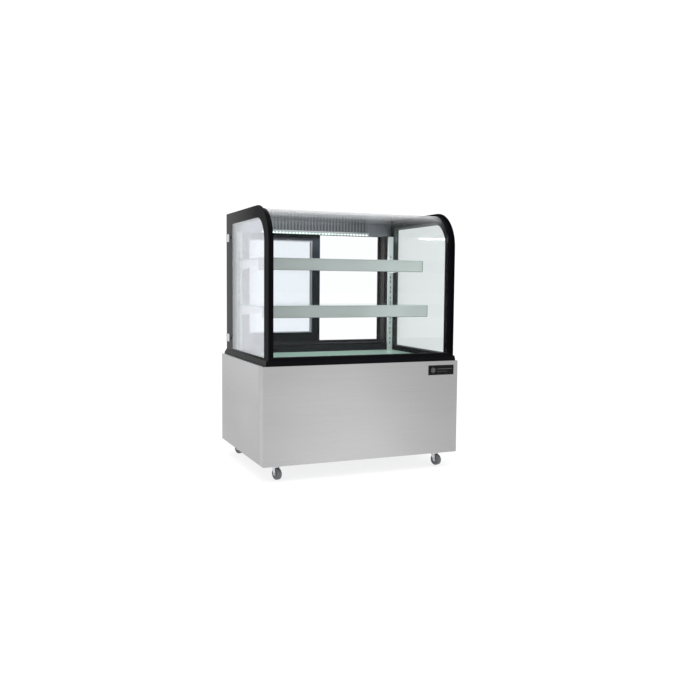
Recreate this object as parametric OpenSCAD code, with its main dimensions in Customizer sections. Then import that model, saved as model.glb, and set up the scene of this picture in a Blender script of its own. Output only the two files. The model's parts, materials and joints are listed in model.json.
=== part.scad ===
// Curved-glass bakery display case on casters.
// Millimetres, +Z up, front towards -Y, origin on the floor under the centre of the base.

/* [Base cabinet] */
// Width of the steel base
base_w = 914; // [880:1:940]
// Depth of the steel base
base_d = 666; // [660:1:690]
// Height of the steel base without its casters
base_h = 415; // [400:1:450]
// Height of the underside of the base above the floor
ground_gap = 68; // [68:1:80]
// Thickness of the steel sheet
sheet = 1.2; // [0.8:0.1:2]
// Depth of the front panel's fold round each side
front_return = 55; // [30:1:90]

/* [Glass case] */
// Width over the side panels
case_w = 868; // [860:1:880]
// Front face of the case, measured from the centre
case_front = 331; // [325:1:332]
// Rear face of the case, measured from the centre
case_rear = 330; // [328:1:332]
// Height of the case above the base
case_h = 666; // [640:1:700]
// Radius of the curved front top corner
corner_r = 160; // [120:1:180]
// Thickness of a double-glazed side panel
side_t = 22; // [20:1:24]
// Thickness of one side pane
pane_t = 5; // [4:0.5:6]
// Thickness of the curved front glass
front_glass_t = 6; // [5:0.5:8]
// Distance that the side panels stand proud of the front glass
glass_step = 12; // [8:1:16]
// Width of the black edge over the curved glass
trim_w = 20; // [16:1:26]

/* [Side windows] */
// Clear border in front of a side window
window_front = 60; // [50:1:70]
// Border above a side window
window_top = 52; // [45:1:60]
// Border behind a side window
window_rear = 108; // [90:1:115]
// Border below a side window
window_bottom = 31; // [28:1:40]
// Radius of the window's front top corner
window_r = 100; // [80:1:110]

/* [Shelves] */
// Slot of the uprights in which the upper shelf hangs
upper_shelf_slot = 7; // [6:1:8]
// Slot of the uprights in which the lower shelf hangs
lower_shelf_slot = 3; // [2:1:4]
// Front edge of the upper shelf, in front of the centre
upper_shelf_front = 95; // [60:1:140]
// Front edge of the lower shelf, in front of the centre
lower_shelf_front = 147; // [100:1:200]
// Height of the shelf front rail
fascia_h = 54; // [40:1:60]
// Half of the shelf length
shelf_half = 402; // [390:1:404]

/* [Rear doors] */
// Half of the clear doorway
doorway_half = 367; // [350:1:370]
// Width of one sliding door
door_w = 404; // [390:1:410]
// Thickness of a door
door_t = 16; // [14:1:16]
// Width of a door stile
stile_w = 38; // [30:1:45]
// Height of the doors
door_h = 540; // [520:1:541]
// Radius of a door roller
roller_r = 9; // [7:0.5:10]

/* [Lamp] */
// Number of light-emitting chips
led_count = 33; // [20:1:40]
// Distance between two chips
led_pitch = 17; // [12:0.5:20]

/* [Casters] */
// Distance of the swivels from the centre line
caster_x = 382; // [370:1:400]
// Distance of the swivels from the middle of the depth
caster_y = 265; // [260:1:290]
// Radius of a wheel
wheel_r = 25; // [24:0.5:25]
// Tread width of a wheel
wheel_w = 18; // [16:1:19]
// Trail of a wheel behind its swivel
trail = 12; // [11:1:18]

/* [Hidden] */
$fn = 64;
eps = 0.01;

half_w = base_w / 2;
half_d = base_d / 2;
base_top = ground_gap + base_h;
case_top = base_top + case_h;
case_half = case_w / 2;
side_in = case_half - side_t;
corner_y = -case_front + corner_r;
corner_z = case_top - corner_r;

// Moulding under the case
moulding_h = 23;
moulding_out = 11;
lip_h = 35;
frame_bottom = base_top + moulding_h;

// Steps inwards from the side outline, of the layers over the front edge
trim_out = glass_step - 1.5;
glass_in = glass_step + front_glass_t;
trim_in = glass_in + 2;
trim_shell = 3;

// Side window
win_front = -case_front + window_front;
win_rear = case_rear - window_rear;
win_top = case_top - window_top;
win_bottom = base_top + window_bottom;
spacer_w = 8;
spacer_back = 2;
inner_grow = spacer_w + spacer_back;

// Header, doorway and tracks
header_front = 270;
header_bottom = base_top + 582;
header_t = 2;
glass_rear = header_front - 1;
fit_gap = 0.3;
ledge = 16;
track_y0 = 281.8;
fin_t = 1.6;
door_gap = 0.6;
door_inner_y = track_y0 + fin_t + door_gap;
door_outer_y = door_inner_y + door_t + fin_t + 2 * door_gap + 0.2;
track_y1 = door_outer_y + door_t + door_gap + fin_t;
track_t = 3;
sill_top = base_top + 45;
track_floor = sill_top + track_t;
fin_h = 6;
door_bottom = track_floor + 3;
door_x = -doorway_half - 8;
rail_top_h = 39;
rail_bottom_h = 45;
head_floor = door_bottom + door_h + 4;
post_front = 246;
post_wall = 3;
post_back = doorway_half + 10;

// Deck, shelves and standards
rim_z = base_top - sheet - 0.3;
deck_top = base_top + 5;
deck_t = deck_top - rim_z;
deck_front = -case_front + trim_in + 4;
sill_front = 240;
standard_front = 234;
standard_w = 26;
standard_x = side_in - 1 - standard_w / 2;
standard_t = 1.5;
slot_first = 30;
slot_pair = 52;
slot_gap = 21;
slot_h = 13;
slot_w = 4.6;
shelf_t = 6;
fascia_d = 14;
glass_stop = 6;
shelf_drop = 2;
bracket_t = 3;
bracket_rear_h = 46;
bracket_front_h = 25;
bracket_setback = 54;
function slot_z(slot) = deck_top + slot_first + slot * slot_pair;
function shelf_top(slot) = slot_z(slot) - 1 + bracket_rear_h + shelf_t + shelf_drop;

// Machine compartment
well_half = 438;
well_front = 322;
well_rear = 318;
well_h = 142;
well_bottom = rim_z - well_h;
well_wall = 34;
rear_panel_y = half_d - 7;
control_x = -230;
control_z = well_bottom - 32;
control_w = 200;
control_h = 56;
control_t = 2.3;
key_size = 9;
key_gap = 0.6;
rocker_w = 12;
rocker_l = 18;
rocker_d = 8;
rocker_tilt = 8;
rocker_pin_r = 1.5;
rocker_pin_l = 2.4;
switch_x = control_x + 62;
switch_step = 24;
key_x = control_x - 14;
key_step = 18;
gland_x = -300;
gland_z = ground_gap + 60;
gland_r = 11;
gland_bore = 5;
badge_t = 1.2;
condenser_fan_x = 90;
condenser_fan_y = 215;
condenser_fan_z = ground_gap + 128;
evap_fan_x = 290;
evap_fan_y = 60;

// Casters
fork_gap = 0.3;
plate_size = 64;
plate_t = 2.5;
fork_top = 60;
kingpin_r = 4.5;
axle_r = 4;
running = 0.08;

// ---------- shared shapes ----------

// Extrudes a (y, z) outline along X from x0 to x1
module along_x(x0, x1) {
    translate([x0, 0, 0]) rotate([90, 0, 90]) linear_extrude(x1 - x0) children();
}

// Draws its children on one side: side = -1 left, 1 right
module on_side(side) {
    if (side > 0) children();
    else mirror([1, 0, 0]) children();
}

// Box from two opposite corners
module block(a, b) {
    translate(a) cube(b - a);
}

// Case outline seen from the side, set in by s, down to z0 and back to y1
module case_outline(s, z0, y1) {
    translate([-case_front + s, z0]) square([y1 + case_front - s, corner_z - z0]);
    translate([corner_y, z0]) square([y1 - corner_y, case_top - s - z0]);
    translate([corner_y, corner_z]) circle(r = corner_r - s, $fn = 180);
}

// Layer of the case outline between two insets, from the moulding to the header
module case_layer(s_out, s_in, z0) {
    difference() {
        case_outline(s_out, z0, glass_rear);
        case_outline(s_in, z0 - 1, glass_rear + 1);
    }
}

// Side window outline, grown outwards by g and by half as much downwards
module window_outline(g) {
    front = win_front - g;
    top = win_top + g;
    bottom = win_bottom - g / 2;
    r = window_r + g;
    translate([front, bottom]) square([win_rear + g - front, top - r - bottom]);
    translate([front + r, bottom]) square([win_rear + g - front - r, top - bottom]);
    translate([front + r, top - r]) circle(r = r, $fn = 120);
}

// Ring of round-headed fasteners whose heads face along +X
module pan_head(r, h) {
    rotate([0, 90, 0]) cylinder(r1 = r, r2 = 0.7 * r, h = h, $fn = 24);
}

// ---------- glass case ----------

module side_frame() {
    color([0.05, 0.05, 0.055]) {
        along_x(case_half - pane_t, case_half) difference() {
            case_outline(0, frame_bottom, case_rear);
            window_outline(0);
        }
        along_x(side_in, case_half - pane_t) difference() {
            union() {
                case_outline(trim_in + fit_gap, frame_bottom, case_rear);
                translate([glass_rear, frame_bottom])
                    square([case_rear - glass_rear, case_top - frame_bottom]);
            }
            window_outline(inner_grow);
        }
    }
}

module side_glass() {
    color([0.75, 0.85, 0.82, 0.4]) {
        along_x(case_half - pane_t, case_half - fit_gap) window_outline(-fit_gap);
        along_x(side_in + fit_gap, side_in + pane_t) window_outline(inner_grow - fit_gap);
    }
}

module glass_spacer() {
    color("silver") along_x(side_in + pane_t, case_half - pane_t) difference() {
        window_outline(inner_grow - fit_gap);
        window_outline(spacer_back);
    }
}

module glass_spacers() {
    for (side = [-1, 1]) on_side(side) glass_spacer();
}

module front_glass() {
    end = case_half - pane_t - trim_shell - fit_gap;
    color([0.75, 0.85, 0.82, 0.4])
        along_x(-end, end) case_layer(glass_step, glass_in, frame_bottom + 2);
}

// Channel that grips one end of the curved glass
module edge_trim() {
    lip = base_top + lip_h;
    color([0.06, 0.06, 0.065]) along_x(case_half - pane_t - trim_w, case_half - pane_t) {
        case_layer(trim_out, glass_step - fit_gap, lip);
        case_layer(glass_in + fit_gap, trim_in, lip);
    }
    color([0.06, 0.06, 0.065]) along_x(case_half - pane_t - trim_shell, case_half - pane_t)
        case_layer(trim_out, trim_in, lip);
}

module edge_trims() {
    for (side = [-1, 1]) on_side(side) edge_trim();
}

// Moulding section: u runs outwards from the case face, z upwards from the base
module moulding_section(inside) {
    polygon([
        [-inside, base_top], [moulding_out, base_top], [moulding_out, base_top + 8],
        [1.5, frame_bottom - 1], [1.5, frame_bottom], [-inside, frame_bottom]
    ]);
}

module case_moulding() {
    front_out = half_d - 1 - case_front;
    front_face = -case_front - front_out;
    color([0.04, 0.04, 0.045]) {
        // side pieces, mitred at the front corner
        for (side = [-1, 1]) on_side(side) difference() {
            translate([case_half, case_rear, 0]) rotate([90, 0, 0])
                linear_extrude(case_rear - front_face) moulding_section(side_t);
            translate([case_half + moulding_out, front_face, base_top - 1])
                rotate([0, 0, 225]) translate([0, -200, 0]) cube([400, 400, 100]);
        }
        // front piece with the groove that holds the glass
        difference() {
            union() {
                along_x(-case_half - moulding_out, case_half + moulding_out) polygon([
                    [front_face, base_top], [front_face, base_top + 8],
                    [front_face + 3, frame_bottom], [-case_front + trim_in, frame_bottom],
                    [-case_front + trim_in, base_top]
                ]);
                along_x(-case_half + pane_t, case_half - pane_t) difference() {
                    translate([-case_front + glass_step - 4, frame_bottom - eps])
                        square([trim_in - glass_step + 4, lip_h - moulding_h + eps]);
                    translate([-case_front + glass_step, frame_bottom + 2])
                        square([front_glass_t, lip_h]);
                }
            }
            for (side = [-1, 1]) on_side(side)
                translate([case_half + moulding_out, front_face, base_top - 1])
                    rotate([0, 0, 45]) translate([0, -200, 0]) cube([400, 400, 31.9]);
        }
    }
}

module header() {
    color([0.30, 0.31, 0.32]) along_x(-side_in, side_in) {
        difference() {
            translate([header_front, header_bottom])
                square([case_rear - header_front, case_top - header_bottom]);
            translate([header_front + header_t, header_bottom - 1])
                square([
                    case_rear - header_front - 2 * header_t,
                    case_top - header_bottom - header_t + 1
                ]);
        }
        // flange in front of the head track
        translate([header_front, header_bottom])
            square([track_y0 - header_front, header_t]);
    }
    // ledge under the rear edge of the curved glass
    ledge_half = case_half - pane_t - trim_w - 1;
    color([0.30, 0.31, 0.32]) along_x(-ledge_half, ledge_half)
        translate([header_front - ledge, case_top - trim_in])
            square([ledge + eps, trim_in - glass_in]);
}

// Lamp body hung on the header's lower front edge
lamp_half = led_count * led_pitch / 2;
lamp_size = 13;
lamp_z = header_bottom + 2;

module led_channel() {
    color([0.75, 0.76, 0.77]) along_x(-lamp_half, lamp_half) polygon([
        [header_front, lamp_z + lamp_size], [header_front, lamp_z - 2],
        [header_front - 4, lamp_z - 4], [header_front - lamp_size, lamp_z + lamp_size - 6],
        [header_front - lamp_size, lamp_z + lamp_size]
    ]);
}

module led_chips() {
    run = [-lamp_size + 4, lamp_size - 2];
    slope = atan2(run[1], run[0]);
    color([1, 1, 0.95])
        for (i = [0 : led_count - 1])
            translate([(i - (led_count - 1) / 2) * led_pitch, header_front - 4, lamp_z - 4])
                rotate([slope, 0, 0]) translate([-2.5, 4.6, 0]) cube([5, 5, 1.2]);
}

module rear_post() {
    color([0.16, 0.15, 0.155])
        translate([0, 0, deck_top]) linear_extrude(header_bottom - deck_top) difference() {
            polygon([
                [doorway_half, post_front], [side_in, post_front], [side_in, case_rear],
                [doorway_half, case_rear], [doorway_half, track_y1 + 0.6],
                [post_back, track_y1 + 0.6], [post_back, track_y0 - 0.3],
                [doorway_half, track_y0 - 0.3]
            ]);
            translate([post_back + post_wall, post_front + post_wall])
                square([
                    side_in - post_back - 2 * post_wall,
                    case_rear - post_front - 2 * post_wall
                ]);
        }
}

module rear_posts() {
    for (side = [-1, 1]) on_side(side) rear_post();
}

// Track with a floor and three guide fins; up = 1 sill, -1 head
module track(floor_z, up, fin) {
    along_x(-post_back + 1, post_back - 1) {
        translate([track_y0, up > 0 ? floor_z - track_t : floor_z])
            square([track_y1 - track_y0, track_t]);
        for (y = [track_y0, door_inner_y + door_t + door_gap, track_y1 - fin_t])
            translate([y, up > 0 ? floor_z - eps : floor_z - fin])
                square([fin_t, fin + eps]);
    }
}

module door_tracks() {
    color([0.20, 0.20, 0.21]) {
        track(track_floor, 1, fin_h);
        track(head_floor, -1, head_floor - header_bottom - 1);
    }
}

module air_grille() {
    slots = 30;
    pitch = 2 * (standard_x - standard_w / 2 - 25) / slots;
    front_half = standard_x - standard_w / 2 - 1;
    color([0.10, 0.10, 0.11]) difference() {
        union() {
            block([-front_half, sill_front, deck_top], [front_half, post_front, sill_top]);
            block([-doorway_half + 0.5, post_front - eps, deck_top],
                  [doorway_half - 0.5, case_rear - 1, sill_top]);
        }
        block([-doorway_half + 2, sill_front + 1.5, deck_top - 1],
              [doorway_half - 2, case_rear - 2.5, sill_top - 1.5]);
        for (i = [0 : slots - 1])
            translate([(i - (slots - 1) / 2) * pitch - 7, sill_front - 1, deck_top + 26])
                cube([14, 4, 4]);
    }
}

// One slotted upright, on the right
module shelf_standard() {
    z0 = deck_top;
    z1 = header_bottom - 2;
    pairs = floor((z1 - z0 - 2 * slot_first) / slot_pair);
    color([0.85, 0.87, 0.86]) difference() {
        block([standard_x - standard_w / 2, standard_front, z0],
              [standard_x + standard_w / 2, post_front, z1]);
        block([standard_x - standard_w / 2 + standard_t, standard_front + standard_t, z0 - 1],
              [standard_x + standard_w / 2 - standard_t, post_front + 1, z1 + 1]);
        for (i = [0 : pairs - 1], k = [0, 1])
            translate([
                standard_x - slot_w / 2, standard_front - 1,
                slot_z(i) + k * slot_gap
            ]) cube([slot_w, 4, slot_h]);
    }
}

module shelf_standards() {
    for (side = [-1, 1]) on_side(side) shelf_standard();
}

module shelf_glass(top, front) {
    color([0.75, 0.87, 0.83, 0.5])
        block([-shelf_half, -front + glass_stop, top - shelf_drop - shelf_t],
              [shelf_half, standard_front - 4, top - shelf_drop]);
}

// Aluminium front rail with a ticket recess, a lower lip and a groove for the shelf glass
module shelf_fascia(top, front) {
    bottom = top - fascia_h;
    groove = top - shelf_drop - shelf_t; // underside of the glass
    color([0.68, 0.71, 0.69]) along_x(-shelf_half, shelf_half) polygon([
        [-front, top - 1], [-front + 1, top], [-front + glass_stop, top],
        [-front + glass_stop, groove], [-front + fascia_d, groove],
        [-front + fascia_d, groove - 2], [-front + 4, groove - 2],
        [-front + 4, bottom + 8], [-front + 8, bottom + 8], [-front + 8, bottom],
        [-front, bottom], [-front, bottom + 7], [-front + 1.5, bottom + 8],
        [-front + 1.5, top - 4], [-front, top - 3]
    ]);
}

// Tapered cantilever bracket with two hooks that hang in the upright
module shelf_bracket(slot, front) {
    z1 = shelf_top(slot) - shelf_drop - shelf_t;
    y0 = -front + bracket_setback;
    y1 = standard_front - 0.3;
    wall = standard_front + standard_t;
    color([0.86, 0.87, 0.87])
        along_x(standard_x - bracket_t / 2, standard_x + bracket_t / 2) {
            polygon([
                [y0, z1], [y0, z1 - bracket_front_h], [y1 - 30, z1 - bracket_rear_h],
                [y1, z1 - bracket_rear_h], [y1, z1]
            ]);
            for (k = [0, 1]) translate([y1, slot_z(slot) + k * slot_gap]) polygon([
                [-eps, 3], [wall + 0.3 - y1, 3], [wall + 0.3 - y1, -3],
                [wall + 2.3 - y1, -3], [wall + 2.3 - y1, 11], [-eps, 11]
            ]);
        }
}

module shelf_brackets() {
    for (side = [-1, 1]) on_side(side) {
        shelf_bracket(upper_shelf_slot, upper_shelf_front);
        shelf_bracket(lower_shelf_slot, lower_shelf_front);
    }
}

// Deck plate, with a separate strip at the back that carries the posts and the grille
module deck() {
    seam = standard_front - 0.5;
    color([0.62, 0.74, 0.69]) for (y = [[deck_front, seam], [seam + 0.3, case_rear - 0.5]])
        block([-side_in + 1, y[0], deck_top - deck_t], [side_in - 1, y[1], deck_top]);
}

// Clamps that hook round the rear edge of each side panel
clamp_z = [base_top + 79, base_top + 552];
clamp_h = 36;
clamp_leg = 56;
clamp_t = 2;

module glass_clamps() {
    color([0.82, 0.83, 0.85])
        for (side = [-1, 1], z = clamp_z) on_side(side)
            difference() {
                block([side_in - 12, case_rear - clamp_leg, z - clamp_h / 2],
                      [case_half + clamp_t, case_rear + clamp_t, z + clamp_h / 2]);
                block([side_in - 40, case_rear - clamp_leg - 1, z - clamp_h],
                      [case_half, case_rear, z + clamp_h]);
            }
}

module clamp_screws() {
    color([0.08, 0.08, 0.08])
        for (side = [-1, 1], z = clamp_z) on_side(side)
            translate([case_half, case_rear - clamp_leg - 16, z]) pan_head(7, 4);
}

// ---------- sliding doors ----------

// Centre of each roller along X, measured from the left edge of its door
roller_at = [55, door_w - 55];
roller_pocket_h = 2 * roller_r + 6;
roller_w = 6;

module door_frame(y) {
    mid = y + door_t / 2;
    color([0.09, 0.095, 0.10]) difference() {
        block([door_x, y, door_bottom], [door_x + door_w, y + door_t, door_bottom + door_h]);
        block([door_x + stile_w, y - 1, door_bottom + rail_bottom_h],
              [door_x + door_w - stile_w, y + door_t + 1,
               door_bottom + door_h - rail_top_h]);
        // finger pull in the stile on the operator's side
        translate([door_x + door_w - stile_w / 2, y + door_t + 14, door_bottom + 200])
            cylinder(r = 20, h = 160);
        // roller pockets
        for (x = roller_at)
            block([door_x + x - roller_r - 3, mid - roller_w / 2 - 0.7, door_bottom - 1],
                  [door_x + x + roller_r + 3, mid + roller_w / 2 + 0.7,
                   door_bottom + roller_pocket_h]);
    }
    // roller axles across the pockets
    color("silver") for (x = roller_at)
        translate([door_x + x, mid - roller_w / 2 - 0.7 - eps, track_floor + roller_r + 0.05])
            rotate([-90, 0, 0]) cylinder(r = 1.5, h = roller_w + 1.4 + 2 * eps, $fn = 24);
}

module door_glass(y) {
    gap = 3;
    color([0.78, 0.86, 0.85, 0.4])
        for (k = [0, 1])
            block([door_x + stile_w, y + gap + k * (door_t - 2 * gap - 3),
                   door_bottom + rail_bottom_h],
                  [door_x + door_w - stile_w, y + gap + 3 + k * (door_t - 2 * gap - 3),
                   door_bottom + door_h - rail_top_h]);
}

module roller(y, index) {
    color([0.88, 0.88, 0.84])
        translate([door_x + roller_at[index], y + door_t / 2 - roller_w / 2,
                   track_floor + roller_r + 0.05])
            rotate([-90, 0, 0]) rotate_extrude($fn = 48) polygon([
                [1.5 + running, 0], [roller_r - 0.8, 0], [roller_r, 0.8],
                [roller_r, roller_w - 0.8], [roller_r - 0.8, roller_w],
                [1.5 + running, roller_w]
            ]);
}

// ---------- steel base ----------

module front_panel() {
    z0 = ground_gap;
    color([0.72, 0.73, 0.74]) difference() {
        block([-half_w, -half_d, z0], [half_w, -half_d + front_return, base_top]);
        block([-half_w + sheet, -half_d + sheet, z0 + sheet],
              [half_w - sheet, -half_d + front_return + 1, base_top - sheet]);
        block([-half_w + 24, -half_d + 24, z0 - 1],
              [half_w - 24, half_d, base_top + 1]);
    }
}

module side_panel() {
    y0 = -half_d + front_return + 1.2;
    color([0.72, 0.73, 0.74]) difference() {
        block([half_w - 24, y0, ground_gap], [half_w, half_d, base_top]);
        block([half_w - 25, y0 - 1, ground_gap + sheet],
              [half_w - sheet, half_d - sheet, base_top - sheet]);
    }
}

module rear_grille() {
    columns = 3;
    rows = 12;
    slot_len = 200;
    z0 = ground_gap + 4;
    z1 = base_top - 4;
    color([0.66, 0.67, 0.68]) difference() {
        block([-half_w + 26, rear_panel_y - sheet, z0], [half_w - 26, rear_panel_y, z1]);
        for (c = [0 : columns - 1], r = [0 : (c == 0 ? rows / 2 : rows) - 1])
            translate([
                (c - 1) * 250 - slot_len / 2, rear_panel_y - 10, ground_gap + 92 + r * 17
            ]) cube([slot_len, 20, 7]);
        // window for the control panel
        block([control_x - control_w / 2 + 6, rear_panel_y - 10, control_z - control_h / 2 + 5],
              [control_x + control_w / 2 - 6, rear_panel_y + 10, control_z + control_h / 2 - 5]);
        // hole for the cable gland
        translate([gland_x, rear_panel_y + 5, gland_z]) rotate([90, 0, 0])
            cylinder(r = gland_r - 3, h = 20);
    }
}

module chassis() {
    t = 2;
    fold = 26;
    x1 = half_w - sheet - 0.2;
    y0 = -half_d + sheet + 0.2;
    y1 = half_d - 9;
    z0 = ground_gap + sheet + 0.2;
    post = 40;
    top = well_bottom;
    color([0.55, 0.56, 0.57]) {
        difference() {
            union() {
                block([-half_w + 24.5, -half_d + 24.5, ground_gap],
                      [half_w - 24.5, y1, z0 + t]);
                block([-x1, y0, z0], [x1, y1, z0 + t]);
                block([-x1, y0, z0], [x1, y0 + t, z0 + fold]);
                block([-x1, y0, z0], [-x1 + t, y1, z0 + fold]);
                block([x1 - t, y0, z0], [x1, y1, z0 + fold]);
            }
        }
        // corner posts that carry the insulated well
        for (sx = [-1, 1], y = [y0, y1 - post]) difference() {
            block([sx > 0 ? x1 - post : -x1, y, z0], [sx > 0 ? x1 : -x1 + post, y + post, top]);
            block([sx > 0 ? x1 - post - 1 : -x1 + t, y > 0 ? y - 1 : y + t, z0 + t],
                  [sx > 0 ? x1 - t : -x1 + post + 1, y > 0 ? y + post - t : y + post + 1,
                   top + 1]);
        }
    }
}

module insulated_well() {
    color([0.90, 0.91, 0.90]) difference() {
        block([-well_half, -well_front, well_bottom], [well_half, well_rear, rim_z]);
        block([-well_half + well_wall + 6, -well_front + well_wall, well_bottom + well_wall],
              [well_half - well_wall - 6, sill_front - 8, rim_z + 1]);
    }
}

// Plain plate for a badge on the front panel
badge_w = 128;
badge_h = 44;
badge_x = half_w - 85;
badge_z = base_top - 40;

module badge() {
    color([0.05, 0.05, 0.06])
        translate([badge_x - badge_w / 2, -half_d - badge_t, badge_z - badge_h / 2])
            cube([badge_w, badge_t, badge_h]);
}

// ---------- refrigeration ----------

module evaporator() {
    z0 = well_bottom + well_wall;
    h = 76;
    color([0.80, 0.81, 0.82]) {
        for (x = [-250, 226]) block([x, 30, z0], [x + 2, 110, z0 + h]);
        for (i = [1 : 22]) translate([-250 + i * 20.6, 34, z0 + 2]) cube([1, 72, h - 6]);
        for (k = [0 : 2]) translate([-262, 50 + k * 20, z0 + 22 + (k % 2) * 26])
            rotate([0, 90, 0]) cylinder(r = 4.8, h = 505, $fn = 24);
    }
    // fan ring beside the coil
    color([0.15, 0.15, 0.16]) translate([evap_fan_x, evap_fan_y, z0]) {
        difference() {
            translate([-48, -48, 0]) cube([96, 96, 30]);
            translate([0, 0, -1]) cylinder(r = 43, h = 40);
        }
        for (a = [0, 90]) rotate([0, 0, a]) translate([-46, -4, 0]) cube([92, 8, 4]);
        cylinder(r = 14, h = 8);
    }
}

// Fan wheel with its hub on +Z and its origin at the hub's foot
module fan_wheel(r, hub_r, h, blades) {
    cylinder(r = hub_r, h = h, $fn = 40);
    intersection() {
        cylinder(r = r, h = h, $fn = 64);
        for (i = [0 : blades - 1]) rotate([0, 0, i * 360 / blades])
            translate([hub_r - 2, 0, h / 2]) rotate([28, 0, 0])
                translate([0, -0.32 * r, -0.8]) cube([r, 0.64 * r, 1.6]);
    }
}

module evaporator_fan() {
    color([0.20, 0.20, 0.21])
        translate([evap_fan_x, evap_fan_y, well_bottom + well_wall + 8.4])
            fan_wheel(40, 13, 18, 7);
}

module compressor() {
    r = 78;
    h = 168;
    dome = 26;
    z0 = ground_gap + 34;
    foot = ground_gap + sheet + 2.2;
    color([0.08, 0.08, 0.09]) translate([-250, 120, z0]) rotate_extrude($fn = 72) {
        square([r, h - dome]);
        translate([0, h - dome]) square([r - dome, dome]);
        translate([r - dome, h - dome]) intersection() {
            circle(r = dome, $fn = 48);
            square(dome);
        }
    }
    color([0.35, 0.35, 0.36]) difference() {
        block([-345, 40, z0 - 4], [-155, 200, z0 + eps]);
        for (x = [-332, -168], y = [54, 186])
            translate([x, y, z0 - 10]) cylinder(r = 4.5, h = 20, $fn = 32);
    }
    // rubber feet
    color([0.1, 0.1, 0.1]) for (x = [-332, -168], y = [54, 186])
        translate([x, y, foot]) cylinder(r = 11, h = z0 - 4 - foot, $fn = 32);
}

module condenser() {
    z0 = ground_gap + sheet + 2.2;
    h = 235;
    y0 = 240;
    color([0.70, 0.71, 0.72]) {
        for (x = [-40, 218]) block([x, y0, z0], [x + 2, y0 + 62, z0 + h]);
        for (i = [1 : 20]) translate([-40 + i * 12.3, y0 + 4, z0 + 6]) cube([1, 54, h - 12]);
        for (k = [0 : 5]) translate([-52, y0 + 18 + (k % 2) * 26, z0 + 24 + k * 37])
            rotate([0, 90, 0]) cylinder(r = 4.8, h = 284, $fn = 24);
    }
    // fan shroud in front of the coil, with the motor on a cross bar
    color([0.12, 0.12, 0.13]) difference() {
        block([-40, condenser_fan_y - 8, z0], [220, y0, z0 + h]);
        block([-36, condenser_fan_y + 18, z0 + 4], [216, y0 + 1, z0 + h - 4]);
        translate([condenser_fan_x, 100, condenser_fan_z]) rotate([-90, 0, 0])
            cylinder(r = 104, h = 200, $fn = 96);
    }
    color([0.12, 0.12, 0.13]) {
        block([condenser_fan_x - 6, condenser_fan_y - 14, z0],
              [condenser_fan_x + 6, condenser_fan_y - 8, z0 + h]);
        translate([condenser_fan_x, condenser_fan_y - 64, condenser_fan_z]) rotate([-90, 0, 0])
            cylinder(r = 34, h = 56, $fn = 48);
    }
}

module condenser_fan() {
    color([0.62, 0.63, 0.64])
        translate([condenser_fan_x, condenser_fan_y - 7.5, condenser_fan_z]) rotate([-90, 0, 0])
            fan_wheel(98, 26, 30, 5);
}

// Pipe of straight runs through the listed points
module pipe(points, r) {
    for (i = [0 : len(points) - 2]) {
        run = points[i + 1] - points[i];
        l = norm(run);
        translate(points[i]) rotate([0, acos(run[2] / l), atan2(run[1], run[0])])
            cylinder(r = r, h = l, $fn = 24);
    }
    for (i = [1 : len(points) - 2]) translate(points[i]) sphere(r = r, $fn = 24);
}

module refrigerant_pipes() {
    top = ground_gap + 262;
    color([0.72, 0.45, 0.30]) {
        pipe([[-172, 120, ground_gap + 150], [-120, 120, ground_gap + 150],
              [-120, 120, top - 10], [-120, 284, top - 10], [-66, 284, top - 10],
              [-66, 284, ground_gap + 212], [-52, 284, ground_gap + 212]], 4);
        pipe([[-328, 120, ground_gap + 150], [-360, 120, ground_gap + 150],
              [-360, 120, well_bottom]], 5);
    }
}

// ---------- controls at the rear ----------

module control_panel() {
    y0 = rear_panel_y;
    color([0.12, 0.12, 0.13]) difference() {
        union() {
            block([control_x - control_w / 2, y0, control_z - control_h / 2],
                  [control_x + control_w / 2, y0 + control_t, control_z + control_h / 2]);
            block([control_x - control_w / 2 + 8, y0 - 40, control_z - control_h / 2 + 7],
                  [control_x + control_w / 2 - 8, y0 + eps, control_z + control_h / 2 - 7]);
        }
        // display recess
        block([control_x - 84, y0 + control_t - 0.8, control_z - 14],
              [control_x - 28, y0 + 10, control_z + 14]);
        for (k = [-1, 1])
            translate([key_x, y0 + control_t - 8, control_z + k * key_step / 2 - key_size / 2])
                translate([-key_size / 2 - key_gap, 0, -key_gap])
                    cube([key_size + 2 * key_gap, 20, key_size + 2 * key_gap]);
        for (k = [-1, 1])
            translate([switch_x + k * switch_step / 2, y0 + control_t + 10, control_z])
                block([-rocker_w / 2 - 0.7, -24, -rocker_l / 2 - 3],
                      [rocker_w / 2 + 0.7, 10, rocker_l / 2 + 3]);
        // bearings of the rockers
        for (k = [-1, 1])
            translate([switch_x + k * switch_step / 2, y0 + control_t - rocker_d / 2 + 1, control_z])
                rotate([0, 90, 0])
                    cylinder(r = rocker_pin_r + running, h = rocker_w + 2 * rocker_pin_l + 0.4,
                             center = true, $fn = 32);
    }
}

module key(k) {
    color([0.75, 0.76, 0.78])
        translate([key_x - key_size / 2, rear_panel_y + control_t - 5,
                   control_z + k * key_step / 2 - key_size / 2])
            cube([key_size, 7, key_size]);
}

module rocker(k, paint) {
    color(paint) translate([
        switch_x + k * switch_step / 2, rear_panel_y + control_t - rocker_d / 2 + 1, control_z
    ]) rotate([rocker_tilt, 0, 0]) {
        difference() {
            block([-rocker_w / 2, -rocker_d / 2, -rocker_l / 2],
                  [rocker_w / 2, rocker_d / 2, rocker_l / 2]);
            translate([0, rocker_d / 2 + 30, 0]) rotate([0, 90, 0])
                cylinder(r = 31.2, h = 20, center = true, $fn = 120);
        }
        rotate([0, 90, 0])
            cylinder(r = rocker_pin_r, h = rocker_w + 2 * rocker_pin_l, center = true, $fn = 32);
    }
}

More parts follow.
